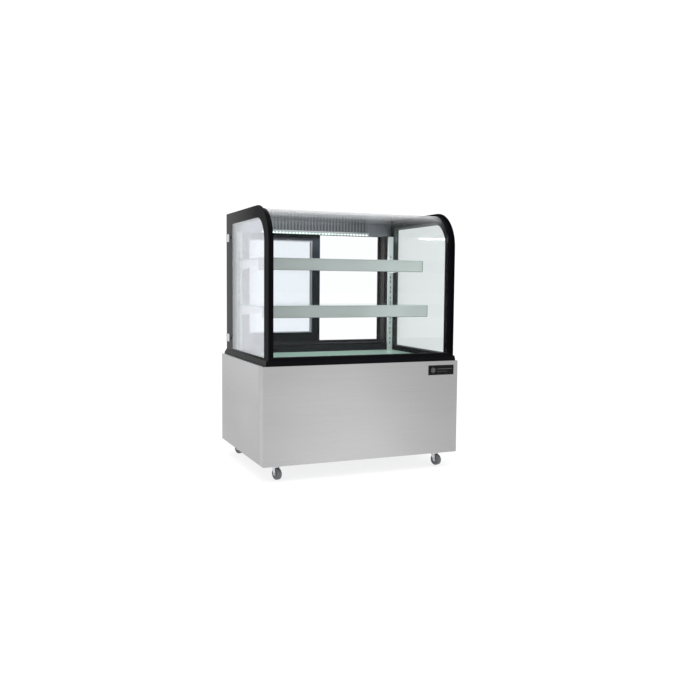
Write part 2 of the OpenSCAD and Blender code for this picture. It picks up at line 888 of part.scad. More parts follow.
module cable_gland() {
    color([0.10, 0.10, 0.10]) difference() {
        union() {
            translate([gland_x, rear_panel_y, gland_z]) rotate([-90, 0, 0])
                cylinder(r = gland_r, h = half_d + badge_t - rear_panel_y, $fn = 6);
            translate([gland_x, rear_panel_y - 12, gland_z]) rotate([-90, 0, 0])
                cylinder(r = gland_r - 3.2, h = 12 + eps);
        }
        translate([gland_x, rear_panel_y - 20, gland_z]) rotate([-90, 0, 0])
            cylinder(r = gland_bore, h = 40);
    }
}

module panel_screws() {
    z = [ground_gap + 22, base_top - 16];
    color([0.75, 0.76, 0.77])
        for (x = [-half_w + 34, -124, 124, half_w - 34], zz = z)
            translate([x, rear_panel_y, zz]) rotate([0, 0, 90]) pan_head(5, 3);
}

// ---------- casters ----------

caster_spots = [
    [-caster_x, -caster_y], [caster_x, -caster_y], [-caster_x, caster_y], [caster_x, caster_y]
];
// Direction in which each wheel trails, in degrees from +X
caster_turn = [-72, -70, 115, -66];

module caster_plates() {
    z1 = ground_gap;
    color([0.74, 0.75, 0.76]) for (p = caster_spots) translate([p[0], p[1], 0]) {
        difference() {
            block([-plate_size / 2, -plate_size / 2, z1 - plate_t],
                  [plate_size / 2, plate_size / 2, z1]);
            for (sx = [-1, 1], sy = [-1, 1])
                translate([sx * 24, sy * 24, z1 - 5]) cylinder(r = 3.4, h = 10, $fn = 24);
        }
        translate([0, 0, fork_top + fork_gap])
            cylinder(r1 = 20, r2 = 24, h = z1 - plate_t - fork_top - fork_gap);
        translate([0, 0, 51]) cylinder(r = kingpin_r, h = 12);
        translate([0, 0, 50.6]) cylinder(r = 8, h = 3.1);
    }
}

module at_caster(i) {
    translate([caster_spots[i][0], caster_spots[i][1], 0]) rotate([0, 0, caster_turn[i]])
        children();
}

module fork(i) {
    leg_in = wheel_w / 2 + 1.5;
    leg_t = 2.2;
    color([0.78, 0.79, 0.80]) at_caster(i) {
        difference() {
            translate([0, 0, fork_top - 6]) cylinder(r = 22, h = 6);
            translate([0, 0, fork_top - 10]) cylinder(r = kingpin_r + running, h = 20);
        }
        for (s = [-1, 1])
            translate([0, s > 0 ? leg_in + leg_t : -leg_in, 0]) rotate([90, 0, 0])
                linear_extrude(leg_t) {
                    polygon([
                        [-12, fork_top], [12, fork_top], [trail + 6.5, wheel_r],
                        [trail - 6.5, wheel_r]
                    ]);
                    translate([trail, wheel_r]) circle(r = 6.5);
                }
        // axle with its rivet heads
        translate([trail, leg_in + leg_t + 2, wheel_r]) rotate([90, 0, 0])
            cylinder(r = axle_r, h = 2 * (leg_in + leg_t + 2));
    }
}

module wheel(i) {
    color([0.42, 0.42, 0.43]) at_caster(i)
        translate([trail, wheel_w / 2, wheel_r]) rotate([90, 0, 0]) rotate_extrude($fn = 96)
            difference() {
                union() {
                    translate([axle_r + running, 0]) square([wheel_r - axle_r - 3.08, wheel_w]);
                    translate([axle_r + running, 3])
                        square([wheel_r - axle_r - running, wheel_w - 6]);
                    for (y = [3, wheel_w - 3]) translate([wheel_r - 3, y]) circle(r = 3, $fn = 32);
                }
                for (y = [-1, wheel_w - 1.5]) translate([9, y]) square([8, 2.5]);
            }
}

on_side(-1) side_frame();  // side_frame_left
on_side(1) side_frame();  // side_frame_right
on_side(-1) side_glass();  // side_glass_left
on_side(1) side_glass();  // side_glass_right
glass_spacers();
front_glass();
edge_trims();
case_moulding();
header();
led_channel();
led_chips();
rear_posts();
door_tracks();
air_grille();
shelf_standards();
shelf_glass(shelf_top(upper_shelf_slot), upper_shelf_front);  // shelf_glass_upper
shelf_glass(shelf_top(lower_shelf_slot), lower_shelf_front);  // shelf_glass_lower
shelf_fascia(shelf_top(upper_shelf_slot), upper_shelf_front);  // shelf_fascia_upper
shelf_fascia(shelf_top(lower_shelf_slot), lower_shelf_front);  // shelf_fascia_lower
shelf_brackets();
deck();
glass_clamps();
clamp_screws();
door_frame(door_inner_y);  // door_inner_frame
door_glass(door_inner_y);  // door_inner_glass
door_frame(door_outer_y);  // door_outer_frame
door_glass(door_outer_y);  // door_outer_glass
roller(door_inner_y, 0);  // inner_roller_left
roller(door_inner_y, 1);  // inner_roller_right
roller(door_outer_y, 0);  // outer_roller_left
roller(door_outer_y, 1);  // outer_roller_right
front_panel();
on_side(-1) side_panel();  // side_panel_left
on_side(1) side_panel();  // side_panel_right
rear_grille();
chassis();
insulated_well();
badge();
evaporator();
evaporator_fan();
compressor();
condenser();
condenser_fan();
refrigerant_pipes();
control_panel();
key(1);  // up_key
key(-1);  // down_key
rocker(-1, [0.12, 0.45, 0.16]);  // power_switch
rocker(1, [0.10, 0.10, 0.10]);  // light_switch
cable_gland();
panel_screws();
caster_plates();
fork(0);  // fork_front_left
fork(1);  // fork_front_right
fork(2);  // fork_rear_left
fork(3);  // fork_rear_right
wheel(0);  // wheel_front_left
wheel(1);  // wheel_front_right
wheel(2);  // wheel_rear_left
wheel(3);  // wheel_rear_right
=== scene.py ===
"""Looks of the curved-glass bakery display case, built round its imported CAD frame."""

import json
import math

import bmesh
import bpy
from mathutils import Euler, Matrix, Vector

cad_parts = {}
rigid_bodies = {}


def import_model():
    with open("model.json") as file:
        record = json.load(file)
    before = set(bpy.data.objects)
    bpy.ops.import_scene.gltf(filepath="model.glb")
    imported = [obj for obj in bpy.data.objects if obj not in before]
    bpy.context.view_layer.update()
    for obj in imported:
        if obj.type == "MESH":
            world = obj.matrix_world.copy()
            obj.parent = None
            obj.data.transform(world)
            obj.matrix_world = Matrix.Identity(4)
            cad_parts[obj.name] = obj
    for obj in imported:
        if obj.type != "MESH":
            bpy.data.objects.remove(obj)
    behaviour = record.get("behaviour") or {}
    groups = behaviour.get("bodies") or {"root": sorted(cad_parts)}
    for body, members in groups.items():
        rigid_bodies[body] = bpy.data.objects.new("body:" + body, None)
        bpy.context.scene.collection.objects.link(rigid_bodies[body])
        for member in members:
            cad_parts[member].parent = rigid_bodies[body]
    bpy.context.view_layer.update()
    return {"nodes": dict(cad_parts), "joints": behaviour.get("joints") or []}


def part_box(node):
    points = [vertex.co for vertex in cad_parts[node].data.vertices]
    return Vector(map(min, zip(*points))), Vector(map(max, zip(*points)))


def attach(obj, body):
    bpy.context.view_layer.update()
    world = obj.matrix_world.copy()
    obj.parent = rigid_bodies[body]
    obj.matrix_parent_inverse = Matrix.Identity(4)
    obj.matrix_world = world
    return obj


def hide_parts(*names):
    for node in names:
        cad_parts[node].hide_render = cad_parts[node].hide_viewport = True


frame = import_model()
nodes = frame["nodes"]
MM = 0.001
scene = bpy.context.scene


# ---------- camera, light and floor ----------


def aim_camera(place, yaw, pitch, roll, lens, shift):
    """Sets a camera by its place, its heading from +Y towards +X, and its lens."""
    forward = Vector(
        (math.sin(yaw) * math.cos(pitch), math.cos(yaw) * math.cos(pitch), math.sin(pitch))
    )
    right = Vector((math.cos(yaw), -math.sin(yaw), 0))
    up = right.cross(forward)
    turned_right = math.cos(roll) * right + math.sin(roll) * up
    turned_up = math.cos(roll) * up - math.sin(roll) * right
    data = bpy.data.cameras.new("case_camera")
    data.sensor_width = 36
    data.lens = lens
    data.shift_x, data.shift_y = shift
    camera = bpy.data.objects.new("case_camera", data)
    scene.collection.objects.link(camera)
    pose = Matrix((turned_right, turned_up, -forward)).transposed().to_4x4()
    pose.translation = Vector(place)
    camera.matrix_world = pose
    scene.camera = camera


def soft_light(name, place, target, size, power):
    """A rectangular area light that faces its target."""
    data = bpy.data.lights.new(name, "AREA")
    data.shape = "RECTANGLE"
    data.size, data.size_y = size
    data.energy = power
    light = bpy.data.objects.new(name, data)
    scene.collection.objects.link(light)
    light.location = place
    light.rotation_euler = (Vector(target) - Vector(place)).to_track_quat("-Z", "Y").to_euler()
    return light


def pale_floor():
    """A wide pale floor under the casters."""
    bm = bmesh.new()
    bmesh.ops.create_grid(bm, x_segments=1, y_segments=1, size=60)
    mesh = bpy.data.meshes.new("floor")
    bm.to_mesh(mesh)
    bm.free()
    floor = bpy.data.objects.new("floor", mesh)
    scene.collection.objects.link(floor)
    paint = bpy.data.materials.new("floor_paint")
    paint.use_nodes = True
    shader = paint.node_tree.nodes["Principled BSDF"]
    shader.inputs["Base Color"].default_value = (0.30, 0.30, 0.30, 1)
    shader.inputs["Emission Color"].default_value = (1, 1, 1, 1)
    shader.inputs["Emission Strength"].default_value = 0.74
    shader.inputs["Roughness"].default_value = 0.9
    shader.inputs["Specular IOR Level"].default_value = 0.1
    mesh.materials.append(paint)


aim_camera(
    place=(-1.3983, -3.3643, 0.8235),
    yaw=math.radians(23.0),
    pitch=math.radians(-4.28),
    roll=math.radians(0.49),
    lens=40.27,
    shift=(0.0119, -0.011),
)
scene.view_settings.view_transform = "Standard"
scene.cycles.transparent_max_bounces = 32
world = bpy.data.worlds.new("studio")
world.use_nodes = True
world.node_tree.nodes["Background"].inputs["Color"].default_value = (1, 1, 1, 1)
world.node_tree.nodes["Background"].inputs["Strength"].default_value = 1.08
scene.world = world
soft_light("top_light", (-0.6, -0.8, 3.2), (0, 0, 0.6), (2.6, 2.2), 34)
soft_light("left_light", (-3.2, -1.2, 1.6), (0, 0, 0.5), (1.6, 2.0), 4)
lamp_glow = soft_light("lamp_glow", (0, 0.25, 1.06), (0, 0.05, 0.5), (0.50, 0.010), 2.5)
lamp_glow.visible_camera = False
pale_floor()


# ---------- finishes ----------


def new_finish(name):
    """A new material, its node tree and its Principled shader."""
    finish = bpy.data.materials.new(name)
    finish.use_nodes = True
    return finish, finish.node_tree, finish.node_tree.nodes["Principled BSDF"]


def object_noise(tree, scale, detail=3.0):
    """Noise whose grain is stretched by its three scales, per metre."""
    place = tree.nodes.new("ShaderNodeTexCoord")
    stretch = tree.nodes.new("ShaderNodeMapping")
    stretch.inputs["Scale"].default_value = scale
    noise = tree.nodes.new("ShaderNodeTexNoise")
    noise.inputs["Scale"].default_value = 1.0
    noise.inputs["Detail"].default_value = detail
    tree.links.new(place.outputs["Object"], stretch.inputs["Vector"])
    tree.links.new(stretch.outputs["Vector"], noise.inputs["Vector"])
    return noise.outputs["Fac"]


def ramp(tree, value, start, stop, first, last, kind="LINEAR"):
    """Goes from first to last while a value goes from start to stop."""
    span = tree.nodes.new("ShaderNodeMapRange")
    span.interpolation_type = kind
    span.inputs["From Min"].default_value = start
    span.inputs["From Max"].default_value = stop
    span.inputs["To Min"].default_value = first
    span.inputs["To Max"].default_value = last
    tree.links.new(value, span.inputs["Value"])
    return span.outputs["Result"]


def spread(tree, value, low, high):
    """Turns noise, which stays mostly between 0.3 and 0.7, into a value from low to high."""
    return ramp(tree, value, 0.3, 0.7, low, high)


def maths(tree, operation, *values):
    """A maths node. A value is a number or the socket that feeds it."""
    step = tree.nodes.new("ShaderNodeMath")
    step.operation = operation
    for socket, value in zip(step.inputs, values):
        if isinstance(value, (int, float)):
            socket.default_value = value
        else:
            tree.links.new(value, socket)
    return step.outputs[0]


def split_coordinate(tree, kind):
    """The X, Y and Z outputs of a texture coordinate."""
    place = tree.nodes.new("ShaderNodeTexCoord")
    parts = tree.nodes.new("ShaderNodeSeparateXYZ")
    tree.links.new(place.outputs[kind], parts.inputs["Vector"])
    return parts.outputs


def tone(tree, factor, dark, light):
    """Mixes two colours by a factor."""
    mix = tree.nodes.new("ShaderNodeMix")
    mix.data_type = "RGBA"
    mix.inputs["A"].default_value = (*dark, 1)
    mix.inputs["B"].default_value = (*light, 1)
    tree.links.new(factor, mix.inputs["Factor"])
    return mix.outputs["Result"]


def raise_grain(tree, shader, value, strength, height):
    """Adds a fine relief to a shader."""
    bump = tree.nodes.new("ShaderNodeBump")
    bump.inputs["Strength"].default_value = strength
    bump.inputs["Distance"].default_value = height
    tree.links.new(value, bump.inputs["Height"])
    tree.links.new(bump.outputs["Normal"], shader.inputs["Normal"])


FINE_SHARE = 0.45


def grained(name, dark, light, grain, roughness, relief, metallic=0.0, cloud=(4, 4, 4), **more):
    """A finish with slow tone clouds, fine grain in its gloss, and a light relief."""
    finish, tree, shader = new_finish(name)
    shader.inputs["Metallic"].default_value = metallic
    for socket, value in more.items():
        shader.inputs[socket.replace("_", " ")].default_value = value
    fine = object_noise(tree, grain)
    slow = object_noise(tree, cloud, 2.0)
    both = maths(
        tree, "MULTIPLY_ADD", fine, FINE_SHARE, maths(tree, "MULTIPLY", slow, 1 - FINE_SHARE)
    )
    colour = tone(tree, spread(tree, both, 0.0, 1.0), dark, light)
    tree.links.new(colour, shader.inputs["Base Color"])
    gloss = spread(tree, fine, roughness[0], roughness[1])
    tree.links.new(gloss, shader.inputs["Roughness"])
    raise_grain(tree, shader, fine, relief[0], relief[1])
    return finish


def clear_pane(name, tint, edge, axis, least=0.03, steepness=4.5, sheen_tone=(1, 1, 1)):
    """Clear glass with a tint, a sheen that grows towards grazing, and green cut edges."""
    finish, tree, shader = new_finish(name)
    output = tree.nodes["Material Output"]
    through = tree.nodes.new("ShaderNodeBsdfTransparent")
    through.inputs["Color"].default_value = (*tint, 1)
    sheen = tree.nodes.new("ShaderNodeBsdfGlossy")
    sheen.inputs["Color"].default_value = (*sheen_tone, 1)
    sheen.inputs["Roughness"].default_value = 0.03
    facing = tree.nodes.new("ShaderNodeLayerWeight")
    facing.inputs["Blend"].default_value = 0.5
    steep = maths(tree, "POWER", facing.outputs["Facing"], steepness)
    pane = tree.nodes.new("ShaderNodeMixShader")
    tree.links.new(maths(tree, "MULTIPLY_ADD", steep, 0.9, least), pane.inputs["Fac"])
    tree.links.new(through.outputs["BSDF"], pane.inputs[1])
    tree.links.new(sheen.outputs["BSDF"], pane.inputs[2])
    # "+X" marks a flat pane across X, whose cut edges face away from X. "-X" marks a pane bent
    # about X, whose cut edges face along X.
    normal = split_coordinate(tree, "Normal")
    side = "LESS_THAN" if axis[0] == "+" else "GREATER_THAN"
    is_edge = maths(tree, side, maths(tree, "ABSOLUTE", normal[axis[1]]), 0.5)
    cloud = object_noise(tree, (30, 30, 60))
    colour = tone(tree, spread(tree, cloud, 0, 1), [0.8 * c for c in edge], edge)
    tree.links.new(colour, shader.inputs["Base Color"])
    shader.inputs["Roughness"].default_value = 0.12
    both = tree.nodes.new("ShaderNodeMixShader")
    tree.links.new(is_edge, both.inputs["Fac"])
    tree.links.new(pane.outputs["Shader"], both.inputs[1])
    tree.links.new(shader.outputs["BSDF"], both.inputs[2])
    tree.links.new(both.outputs["Shader"], output.inputs["Surface"])
    return finish


def glowing(name, colour, strength):
    """A lit surface with faint clouds in its colour."""
    finish, tree, shader = new_finish(name)
    cloud = object_noise(tree, (60, 60, 60))
    hue = tone(tree, spread(tree, cloud, 0, 1), [0.92 * c for c in colour], colour)
    tree.links.new(hue, shader.inputs["Base Color"])
    tree.links.new(hue, shader.inputs["Emission Color"])
    shader.inputs["Emission Strength"].default_value = strength
    shader.inputs["Roughness"].default_value = 0.3
    return finish


def paint_light_and_shade_along(finish, axis, stops):
    """Paints light and shade into the colour of a finish, scaling it along an axis smoothly from
    stop to stop. A stop is (place, factor).
    """
    tree = finish.node_tree
    shader = tree.nodes["Principled BSDF"]
    place = split_coordinate(tree, "Object")[axis]
    factor = stops[0][1]
    for (start, low), (end, high) in zip(stops, stops[1:]):
        step = ramp(tree, place, start, end, 1, high / low, "SMOOTHSTEP")
        factor = maths(tree, "MULTIPLY", factor, step)
    source = shader.inputs["Base Color"].links[0].from_socket
    dimmed = tree.nodes.new("ShaderNodeVectorMath")
    dimmed.operation = "SCALE"
    tree.links.new(source, dimmed.inputs[0])
    tree.links.new(factor, dimmed.inputs["Scale"])
    tree.links.new(dimmed.outputs["Vector"], shader.inputs["Base Color"])


def paint_sheen_along_y(finish, y0, y1, low, high):
    """Lets a finish mirror less at y0 than at y1: a painted sheen that changes along Y."""
    tree = finish.node_tree
    level = ramp(tree, split_coordinate(tree, "Object")["Y"], y0, y1, low, high)
    tree.links.new(level, tree.nodes["Principled BSDF"].inputs["Specular IOR Level"])


BRUSH_ALONG = (2.5, 2.5, 1400)
BRUSH_DOWN = (1400, 1400, 3)
FINE = (900, 900, 900)
steel = grained(
    "brushed_steel", (0.40, 0.40, 0.40), (0.53, 0.53, 0.53), BRUSH_ALONG, (0.27, 0.42),
    (0.05, 0.0002), metallic=1.0, cloud=(1.2, 1.2, 2.6), Anisotropic=0.4,
)
# painted light and shade: the front panel's steel is painted lightest just left of centre, darker
# towards the right end and slightly darker towards the top
paint_light_and_shade_along(steel, "X", ((-0.46, 0.95), (-0.10, 1.09), (0.46, 0.80)))
paint_light_and_shade_along(steel, "Z", ((0.22, 1.0), (0.48, 0.94)))
# painted shade: the side panels get a darker copy of the front panel's brushed steel, painted
# darker towards the rear and lighter towards the top
shaded_side_steel = grained(
    "brushed_steel_shaded_side", (0.37, 0.37, 0.375), (0.47, 0.47, 0.475), BRUSH_ALONG, (0.27, 0.42),
    (0.05, 0.0002), metallic=1.0, cloud=(1.2, 1.2, 2.6), Anisotropic=0.4,
)
paint_light_and_shade_along(shaded_side_steel, "Y", ((-0.33, 0.97), (0.33, 0.88)))
paint_light_and_shade_along(shaded_side_steel, "Z", ((0.30, 1.0), (0.47, 1.12)))
steel_rear = grained(
    "satin_steel", (0.42, 0.43, 0.44), (0.54, 0.55, 0.56), BRUSH_DOWN, (0.3, 0.45),
    (0.05, 0.0002), metallic=1.0, Anisotropic=0.3,
)
black_paint = grained(
    "black_border", (0.003, 0.003, 0.004), (0.006, 0.006, 0.007), (500, 500, 500), (0.10, 0.18),
    (0.03, 0.0001), IOR=1.078,
)
# painted shade and sheen: the black border mirrors less towards the front and more towards the
# rear
paint_sheen_along_y(black_paint, -0.15, 0.34, 0.15, 0.78)
black_trim = grained(
    "black_edge_trim", (0.002, 0.002, 0.003), (0.004, 0.004, 0.005), (700, 700, 700),
    (0.22, 0.34), (0.05, 0.0002), IOR=1.08,
)
moulding_black = grained(
    "moulding_black", (0.003, 0.003, 0.004), (0.006, 0.006, 0.007), (4, 4, 900), (0.20, 0.32),
    (0.05, 0.0002), IOR=1.085,
)
jamb_paint = grained(
    "jamb_paint", (0.014, 0.012, 0.012), (0.024, 0.021, 0.020), FINE, (0.35, 0.5), (0.08, 0.0002),
    IOR=1.25, Specular_IOR_Level=0.3,
)
door_paint = grained(
    "anthracite_door", (0.006, 0.008, 0.010), (0.012, 0.014, 0.017), (900, 900, 60), (0.3, 0.42),
    (0.06, 0.0002), IOR=1.2, Specular_IOR_Level=0.3,
)
track_plastic = grained(
    "track_plastic", (0.012, 0.012, 0.014), (0.022, 0.022, 0.025), FINE, (0.4, 0.55),
    (0.1, 0.0002), Specular_IOR_Level=0.2,
)
sill_paint = grained(
    "dark_sill", (0.009, 0.009, 0.012), (0.017, 0.017, 0.021), FINE, (0.3, 0.42), (0.06, 0.0002),
    IOR=1.25, Specular_IOR_Level=0.3,
)
white_paint = grained(
    "white_satin_paint", (0.62, 0.64, 0.63), (0.74, 0.76, 0.75), (800, 800, 800), (0.3, 0.42),
    (0.08, 0.0002), Coat_Weight=0.2,
)
satin_aluminium = grained(
    "satin_aluminium", (0.41, 0.46, 0.425), (0.51, 0.56, 0.525), (4, 900, 900), (0.3, 0.42),
    (0.05, 0.0002), metallic=0.35, Anisotropic=0.3,
)
# painted shade and light: the shelf rails are painted darker at their left ends and lighter at
# their right ends
paint_light_and_shade_along(satin_aluminium, "X", ((-0.40, 0.74), (0.0, 0.94), (0.40, 1.38)))
mill_aluminium = grained(
    "mill_aluminium", (0.55, 0.56, 0.57), (0.68, 0.69, 0.70), (6, 600, 600), (0.25, 0.4),
    (0.05, 0.0002), metallic=1.0,
)
deck_green = grained(
    "glossy_green_deck", (0.52, 0.68, 0.60), (0.60, 0.76, 0.68), (60, 60, 60), (0.08, 0.14),
    (0.01, 0.0001), IOR=1.3,
)
# painted shade: the deck's rear strip, under the air grille, is painted much darker
paint_light_and_shade_along(deck_green, "Y", ((0.228, 1.0), (0.238, 0.3)))
bright_chrome = grained(
    "polished_clamp", (0.42, 0.42, 0.47), (0.58, 0.58, 0.64), FINE, (0.12, 0.22), (0.02, 0.0001),
    metallic=1.0,
)
zinc = grained(
    "zinc_plate", (0.50, 0.51, 0.53), (0.68, 0.69, 0.71), (300, 300, 300), (0.22, 0.4),
    (0.05, 0.0002), metallic=1.0, cloud=(60, 60, 60),
)
tyre_rubber = grained(
    "grey_tyre", (0.10, 0.10, 0.105), (0.16, 0.16, 0.165), (500, 500, 500), (0.55, 0.75),
    (0.15, 0.0003), cloud=(50, 50, 50),
)
black_plastic = grained(
    "black_plastic", (0.010, 0.010, 0.011), (0.018, 0.018, 0.019), FINE, (0.28, 0.42),
    (0.12, 0.0003),
)
grey_plastic = grained(
    "grey_key_plastic", (0.45, 0.46, 0.48), (0.54, 0.55, 0.57), FINE, (0.4, 0.5), (0.1, 0.0002),
)
green_plastic = grained(
    "green_rocker", (0.015, 0.20, 0.035), (0.02, 0.27, 0.05), FINE, (0.2, 0.3), (0.05, 0.0002),
)
white_nylon = grained(
    "white_nylon", (0.66, 0.66, 0.61), (0.75, 0.75, 0.70), FINE, (0.35, 0.5), (0.08, 0.0002),
)
foam_skin = grained(
    "foam_skin", (0.72, 0.73, 0.72), (0.80, 0.81, 0.80), (120, 120, 120), (0.4, 0.55),
    (0.1, 0.0004),
)
chassis_zinc = grained(
    "chassis_zinc", (0.40, 0.41, 0.42), (0.58, 0.59, 0.60), (160, 160, 160), (0.35, 0.5),
    (0.05, 0.0002), metallic=0.9, cloud=(30, 30, 30),
)
copper = grained(
    "bare_copper", (0.55, 0.24, 0.13), (0.75, 0.38, 0.24), (200, 200, 200), (0.2, 0.38),
    (0.05, 0.0002), metallic=1.0, cloud=(25, 25, 25),
)
enamel = grained(
    "black_enamel", (0.008, 0.008, 0.009), (0.015, 0.015, 0.017), (150, 150, 150), (0.15, 0.3),
    (0.08, 0.0004), Coat_Weight=0.5,
)
gloss_black = grained(
    "gloss_black_badge", (0.004, 0.004, 0.005), (0.006, 0.006, 0.007), (90, 90, 90), (0.05, 0.1),
    (0.01, 0.0001), IOR=1.2,
)
seal_rubber = grained(
    "seal_rubber", (0.012, 0.012, 0.012), (0.022, 0.022, 0.022), FINE, (0.55, 0.7), (0.1, 0.0002),
)
# painted shade: the dark grey of the strips that stand in for the shadow lines of the shelf rails
rail_shade_strip = grained(
    "rail_shade_strip", (0.07, 0.075, 0.073), (0.11, 0.115, 0.112), (6, 600, 600), (0.4, 0.5),
    (0.05, 0.0002),
)
dark_spacer = grained(
    "dark_spacer", (0.008, 0.008, 0.009), (0.016, 0.016, 0.018), (6, 600, 600), (0.3, 0.45),
    (0.05, 0.0002), IOR=1.25,
)
# painted highlight: the glass spacers are painted up to eleven times lighter above Z 1.05 m, along
# the case's curved top
paint_light_and_shade_along(dark_spacer, "Z", ((1.02, 1.0), (1.05, 11)))
front_pane = clear_pane(
    "curved_glass", (0.955, 0.962, 0.972), (0.10, 0.22, 0.17), "-X", least=0.006, steepness=3.9
)
left_pane = clear_pane(
    "left_glass", (0.982, 0.986, 0.992), (0.03, 0.08, 0.06), "+X", steepness=3.9,
    sheen_tone=(0.955, 0.965, 1.0),
)
right_pane = clear_pane(
    "right_glass", (0.981, 0.993, 0.988), (0.03, 0.08, 0.06), "+X",
    sheen_tone=(0.28, 0.29, 0.28),
)
door_pane = clear_pane("door_glass", (0.98, 0.986, 0.99), (0.10, 0.20, 0.17), "+Y", least=0.02)
shelf_pane = clear_pane("shelf_glass", (0.90, 0.95, 0.925), (0.22, 0.42, 0.34), "+Z")
lit_chip = glowing("lit_chip", (1.0, 1.0, 0.96), 2.4)
lit_digit = glowing("lit_digit", (0.9, 0.06, 0.03), 2.0)


def header_with_painted_reflection(name, low, height, pitch, reach):
    """Dark brushed metal with the lamp's reflection painted on its front as upright streaks, one
    for each chip; the metal is painted darker within the lamp's reach and lighter beyond it.
    """
    finish, tree, shader = new_finish(name)
    place = split_coordinate(tree, "Object")
    # +100.5 keeps the count of pitches above zero and puts a painted reflection streak at X = 0
    count = maths(tree, "MULTIPLY_ADD", place["X"], 1 / pitch, 100.5)
    off_centre = maths(
        tree, "ABSOLUTE", maths(tree, "SUBTRACT", maths(tree, "FRACT", count), 0.5)
    )
    line = ramp(tree, off_centre, 0.08, 0.34, 1.0, 0.0)
    fade = ramp(tree, place["Z"], low.z, low.z + height, 1.0, 0.35)
    ends = ramp(tree, maths(tree, "ABSOLUTE", place["X"]), reach - pitch, reach, 1.0, 0.0)
    front = ramp(tree, place["Y"], low.y + 0.5 * MM, low.y + 1.5 * MM, 1.0, 0.0)
    brush = object_noise(tree, BRUSH_DOWN)
    lit = spread(tree, brush, 0.75, 1.0)
    for share in (line, fade, ends, front):
        lit = maths(tree, "MULTIPLY", lit, share)
    # painted shade and light: the metal is painted darker within the lamp's reach, where the
    # painted streaks lie, and a plain lighter grey beyond it
    outside = tone(tree, ends, (0.27, 0.29, 0.31), (0.12, 0.13, 0.14))
    metal = tree.nodes.new("ShaderNodeMix")
    metal.data_type = "RGBA"
    metal.blend_type = "MULTIPLY"
    metal.inputs["Factor"].default_value = 1.0
    tree.links.new(outside, metal.inputs["A"])
    tree.links.new(tone(tree, brush, (0.8, 0.8, 0.8), (1, 1, 1)), metal.inputs["B"])
    # painted reflection: where the streak mask is up, the metal gives way to a light streak colour
    mix = tree.nodes.new("ShaderNodeMix")
    mix.data_type = "RGBA"
    mix.inputs["B"].default_value = (0.30, 0.32, 0.31, 1)
    tree.links.new(lit, mix.inputs["Factor"])
    tree.links.new(metal.outputs["Result"], mix.inputs["A"])
    tree.links.new(mix.outputs["Result"], shader.inputs["Base Color"])
    shader.inputs["Metallic"].default_value = 0.85
    tree.links.new(spread(tree, brush, 0.26, 0.40), shader.inputs["Roughness"])
    raise_grain(tree, shader, brush, 0.1, 0.0003)
    return finish


# the painted reflection streaks of the lamp on the header: their pitch, height and reach
LAMP_REFLECTION_PITCH = 17 * MM
LAMP_REFLECTION_HEIGHT = 85 * MM
LAMP_REFLECTION_REACH = 284 * MM
LIP_DEPTH = 16 * MM
header_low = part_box("header")[0]
header_painted_reflection = header_with_painted_reflection(
    "dark_header_painted_reflection", Vector((0, header_low.y + LIP_DEPTH, header_low.z)),
    LAMP_REFLECTION_HEIGHT, LAMP_REFLECTION_PITCH, LAMP_REFLECTION_REACH,
)
pale_mark = grained(
    "pale_mark", (0.20, 0.20, 0.21), (0.28, 0.28, 0.29), FINE, (0.3, 0.4), (0.05, 0.0002),
    metallic=0.3,
)
dim_mark = grained(
    "dim_mark", (0.030, 0.030, 0.031), (0.045, 0.045, 0.046), FINE, (0.35, 0.45), (0.05, 0.0002),
)
hub_plastic = grained(
    "dark_hub_plastic", (0.085, 0.085, 0.09), (0.12, 0.12, 0.125), FINE, (0.4, 0.5),
    (0.1, 0.0002),
)

FINISHES = {
    black_paint: ["side_frame_left", "side_frame_right"],
    left_pane: ["side_glass_left"],
    right_pane: ["side_glass_right"],
    dark_spacer: ["glass_spacers"],
    mill_aluminium: ["led_channel", "evaporator", "condenser", "condenser_fan"],
    front_pane: ["front_glass"],
    black_trim: ["edge_trims"],
    moulding_black: ["case_moulding"],
    header_painted_reflection: ["header"],
    lit_chip: ["led_chips"],
    jamb_paint: ["rear_posts"],
    track_plastic: ["door_tracks"],
    sill_paint: ["air_grille"],
    white_paint: ["shelf_standards", "shelf_brackets"],
    shelf_pane: ["shelf_glass_upper", "shelf_glass_lower"],
    satin_aluminium: ["shelf_fascia_upper", "shelf_fascia_lower"],
    deck_green: ["deck"],
    bright_chrome: ["glass_clamps", "panel_screws"],
    door_paint: ["door_inner_frame", "door_outer_frame"],
    door_pane: ["door_inner_glass", "door_outer_glass"],
    white_nylon: [
        "inner_roller_left", "inner_roller_right", "outer_roller_left", "outer_roller_right",
    ],
    steel: ["front_panel"],
    shaded_side_steel: ["side_panel_left", "side_panel_right"],
    steel_rear: ["rear_grille"],
    chassis_zinc: ["chassis"],
    foam_skin: ["insulated_well"],
    gloss_black: ["badge"],
    enamel: ["compressor"],
    copper: ["refrigerant_pipes"],
    black_plastic: [
        "clamp_screws", "control_panel", "cable_gland", "evaporator_fan", "light_switch",
    ],
    grey_plastic: ["up_key", "down_key"],
    green_plastic: ["power_switch"],
    zinc: [
        "caster_plates", "fork_front_left", "fork_front_right", "fork_rear_left",
        "fork_rear_right",
    ],
    tyre_rubber: [
        "wheel_front_left", "wheel_front_right", "wheel_rear_left", "wheel_rear_right",
    ],
}
for finish, names in FINISHES.items():
    for name in names:
        nodes[name].data.materials.clear()
        nodes[name].data.materials.append(finish)


# ---------- making pieces ----------


def add_piece(name, bm, finish, body):
    """Turns a bmesh into a finished piece that rides on a body."""
    bmesh.ops.recalc_face_normals(bm, faces=bm.faces)
    mesh = bpy.data.meshes.new(name)
    bm.to_mesh(mesh)
    bm.free()
    mesh.materials.append(finish)
    piece = bpy.data.objects.new(name, mesh)
    scene.collection.objects.link(piece)
    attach(piece, body)
    return piece


